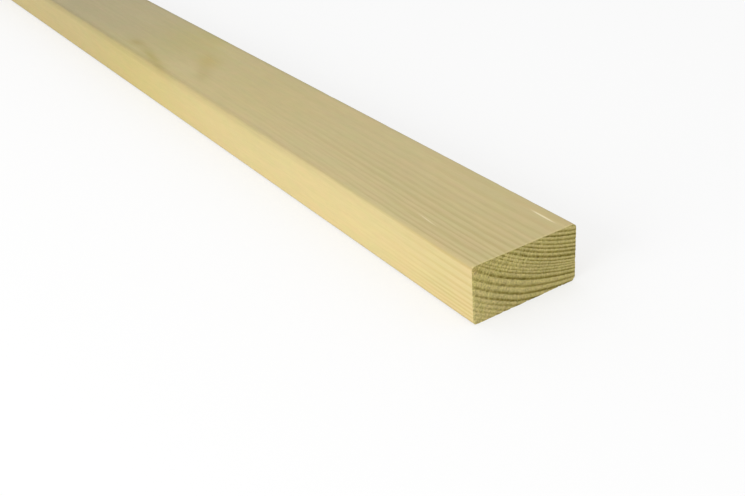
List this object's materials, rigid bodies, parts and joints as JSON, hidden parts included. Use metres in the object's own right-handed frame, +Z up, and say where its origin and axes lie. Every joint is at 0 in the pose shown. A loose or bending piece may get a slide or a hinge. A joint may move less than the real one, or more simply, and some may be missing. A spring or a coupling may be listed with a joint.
{
  "type": "planed softwood timber plank",
  "caption": "Straight length of planed softwood timber with a rectangular section, eased long arrises and square sawn ends.",
  "frame": {"origin": "middle of the bottom wide face, halfway along the length and halfway across the width", "axes": "+X along the grain towards the end that faces the viewer, +Y across the wide face, +Z up through the thickness"},
  "size_m": [1.8, 0.09, 0.045],
  "materials": {
    "planed_softwood": "planed smooth on the four long faces, fine sawn on the two ends, no coating"
  },
  "bodies": {
    "root": {"timber_plank": "planed_softwood"}
  },
  "joints": []
}
